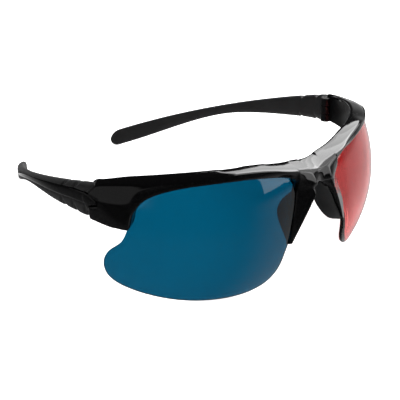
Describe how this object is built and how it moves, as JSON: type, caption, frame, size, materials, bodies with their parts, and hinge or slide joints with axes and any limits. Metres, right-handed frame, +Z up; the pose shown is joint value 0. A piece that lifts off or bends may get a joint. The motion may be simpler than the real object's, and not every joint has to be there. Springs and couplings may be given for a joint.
{
  "type": "3d glasses",
  "caption": "Wraparound half-rim 3d viewing glasses with one cyan and one red curved lens, soft nose pads and folding temples with soft grips.",
  "frame": {"origin": "on the table under the middle of the open glasses, centred left to right and front to back", "axes": "+X to the wearer's left, +Y from the lenses back to the ears, +Z up"},
  "size_m": [0.1372, 0.1674, 0.0512],
  "materials": {
    "frame_plastic": "polished black",
    "soft_rubber": "matte black",
    "cyan_lens": "polished cyan tint",
    "red_lens": "polished red tint",
    "screw_steel": "satin"
  },
  "bodies": {
    "front": {"front_frame": "frame_plastic", "right_lens": "cyan_lens", "left_lens": "red_lens", "right_nose_pad": "soft_rubber", "left_nose_pad": "soft_rubber", "right_hinge_screw": "screw_steel", "left_hinge_screw": "screw_steel"},
    "right_arm": {"right_temple": "frame_plastic", "right_temple_grip": "soft_rubber"},
    "left_arm": {"left_temple": "frame_plastic", "left_temple_grip": "soft_rubber"}
  },
  "joints": [
    {"name": "left_fold", "type": "hinge", "parent": "front", "child": "left_arm", "pos_m": [0.06227, -0.03114, 0.0389], "axis": [0, 0, 1], "range_deg": [0, 78]},
    {"name": "right_fold", "type": "hinge", "parent": "front", "child": "right_arm", "pos_m": [-0.06227, -0.03114, 0.0389], "axis": [0, 0, -1], "range_deg": [0, 72]}
  ]
}
